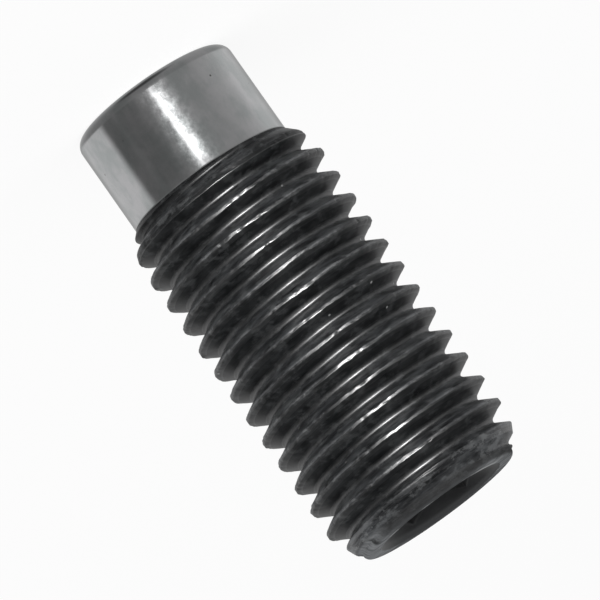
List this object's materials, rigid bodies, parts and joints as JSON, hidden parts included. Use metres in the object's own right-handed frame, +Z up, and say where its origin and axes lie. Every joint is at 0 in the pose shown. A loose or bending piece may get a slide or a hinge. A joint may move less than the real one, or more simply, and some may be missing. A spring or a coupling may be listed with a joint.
{
  "type": "threaded pin",
  "caption": "Headless threaded steel pin: coarse right-hand thread, hexagon socket in one end and a smooth cylindrical locating dog on the other.",
  "frame": {"origin": "centre of the dog's flat end face, which the pin stands on", "axes": "+Z up along the pin's axis, from the dog to the hexagon socket; two corners of the hexagon lie on the X axis"},
  "size_m": [0.0156, 0.0156, 0.0365],
  "materials": {
    "black_oxide_steel": "black oxide over a rolled thread; the dog is ground bright"
  },
  "bodies": {
    "root": {"threaded_pin": "black_oxide_steel"}
  },
  "joints": []
}
